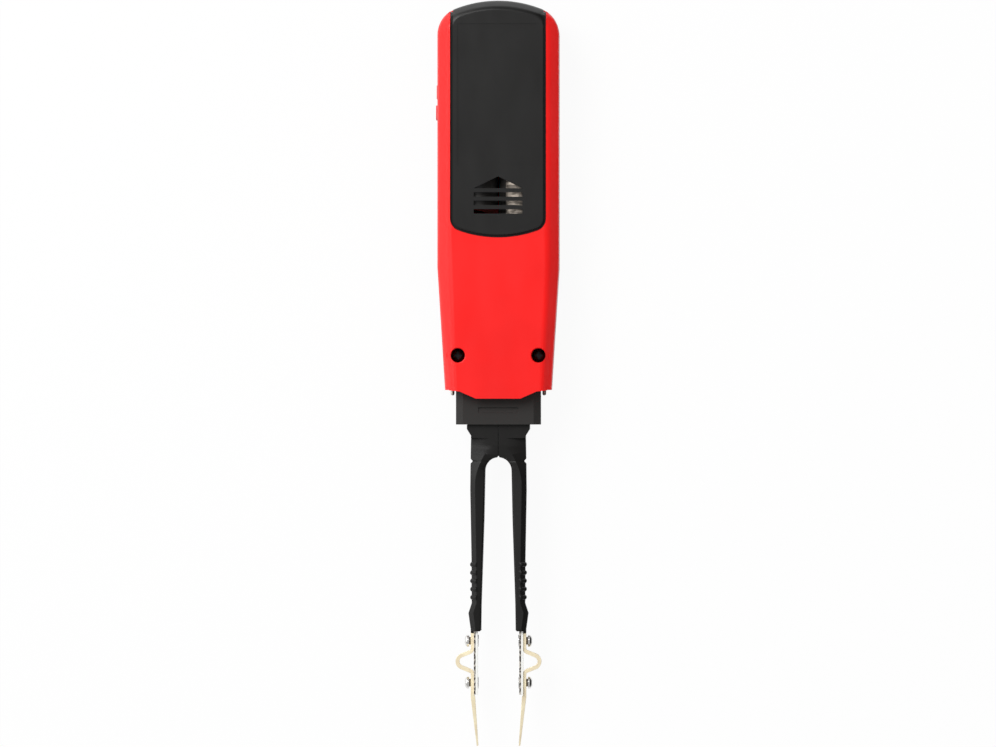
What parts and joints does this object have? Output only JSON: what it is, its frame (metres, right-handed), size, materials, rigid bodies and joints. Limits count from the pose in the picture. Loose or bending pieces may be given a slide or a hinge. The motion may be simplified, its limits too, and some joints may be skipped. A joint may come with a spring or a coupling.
{
  "type": "component tester",
  "caption": "Handheld tester for surface-mounted components: case with sliding battery door, function dial and side keys, and a plug-in tweezer head with flexing arms.",
  "frame": {"origin": "under the middle of the tester's length, on the plane of the case's front rim, which it lies on", "axes": "+X to the right as seen from the back, +Y along the case towards the battery end, +Z out of the back"},
  "size_m": [0.0301, 0.1812, 0.02],
  "materials": {
    "red_plastic": "smooth satin",
    "black_plastic": "fine texture",
    "dial_plastic": "fine texture",
    "key_plastic": "satin",
    "pale_plastic": "satin",
    "board_green": "solder mask",
    "board_white": "white solder mask",
    "chip_black": "moulded",
    "window_clear": "clear",
    "display_glass": "grey-green",
    "elastomer": "matte",
    "screw_black": "black oxide",
    "steel": "plated",
    "gold": "gold plated",
    "cell_black": "printed sleeve",
    "cell_copper": "metallic sleeve",
    "lead_red": "insulation"
  },
  "bodies": {
    "case": {"back_shell": "red_plastic", "front_shell": "black_plastic", "case_screws": "screw_black", "guide_pins": "steel", "battery_left": "cell_black", "battery_right": "cell_copper", "negative_spring": "steel", "positive_plate": "steel", "bridge_contact": "steel", "circuit_board": "board_green", "board_screws": "steel", "main_chip": "chip_black", "small_parts": "pale_plastic", "crystal": "steel", "buzzer": "chip_black", "display_window": "window_clear", "display_glass": "display_glass", "display_frame": "pale_plastic", "elastomer_strip": "elastomer", "upper_switch": "chip_black", "lower_switch": "chip_black", "socket_block": "chip_black", "socket_sleeves": "gold"},
    "door": {"battery_door": "black_plastic"},
    "dial": {"function_dial": "dial_plastic", "dial_rotor": "pale_plastic", "dial_wipers": "gold"},
    "upper_button": {"upper_key": "key_plastic", "upper_plunger": "pale_plastic"},
    "lower_button": {"lower_key": "key_plastic", "lower_plunger": "pale_plastic"},
    "head": {"plug_back": "black_plastic", "plug_front": "black_plastic", "plug_pins": "gold", "plug_leads": "lead_red", "left_root": "black_plastic", "right_root": "black_plastic"},
    "left_tweezer": {"left_arm": "black_plastic", "left_leads": "lead_red", "left_board": "board_white", "left_tip": "gold", "left_screws": "steel", "left_nuts": "steel"},
    "right_tweezer": {"right_arm": "black_plastic", "right_leads": "lead_red", "right_board": "board_white", "right_tip": "gold", "right_screws": "steel", "right_nuts": "steel"}
  },
  "joints": [
    {"name": "door_slide", "type": "slide", "parent": "case", "child": "door", "axis": [0, 1, 0], "range_m": [0, 0.06]},
    {"name": "head_slide", "type": "slide", "parent": "case", "child": "head", "axis": [0, -1, 0], "range_m": [0, 0.022]},
    {"name": "left_squeeze", "type": "hinge", "parent": "head", "child": "left_tweezer", "pos_m": [-0.00222, -0.0213, 0.01], "axis": [0, 0, 1], "range_deg": [0, 4], "stiffness_Nm_per_rad": 0.8},
    {"name": "right_squeeze", "type": "hinge", "parent": "head", "child": "right_tweezer", "pos_m": [0.00222, -0.0213, 0.01], "axis": [0, 0, -1], "range_deg": [0, 4], "stiffness_Nm_per_rad": 0.8},
    {"name": "dial_turn", "type": "hinge", "parent": "case", "child": "dial", "pos_m": [0, 0.024, 0], "axis": [0, 0, -1], "range_deg": [0, 120]},
    {"name": "upper_press", "type": "slide", "parent": "case", "child": "upper_button", "axis": [1, 0, 0], "range_m": [0, 0.0003], "stiffness_N_per_m": 800},
    {"name": "lower_press", "type": "slide", "parent": "case", "child": "lower_button", "axis": [1, 0, 0], "range_m": [0, 0.0003], "stiffness_N_per_m": 800}
  ]
}
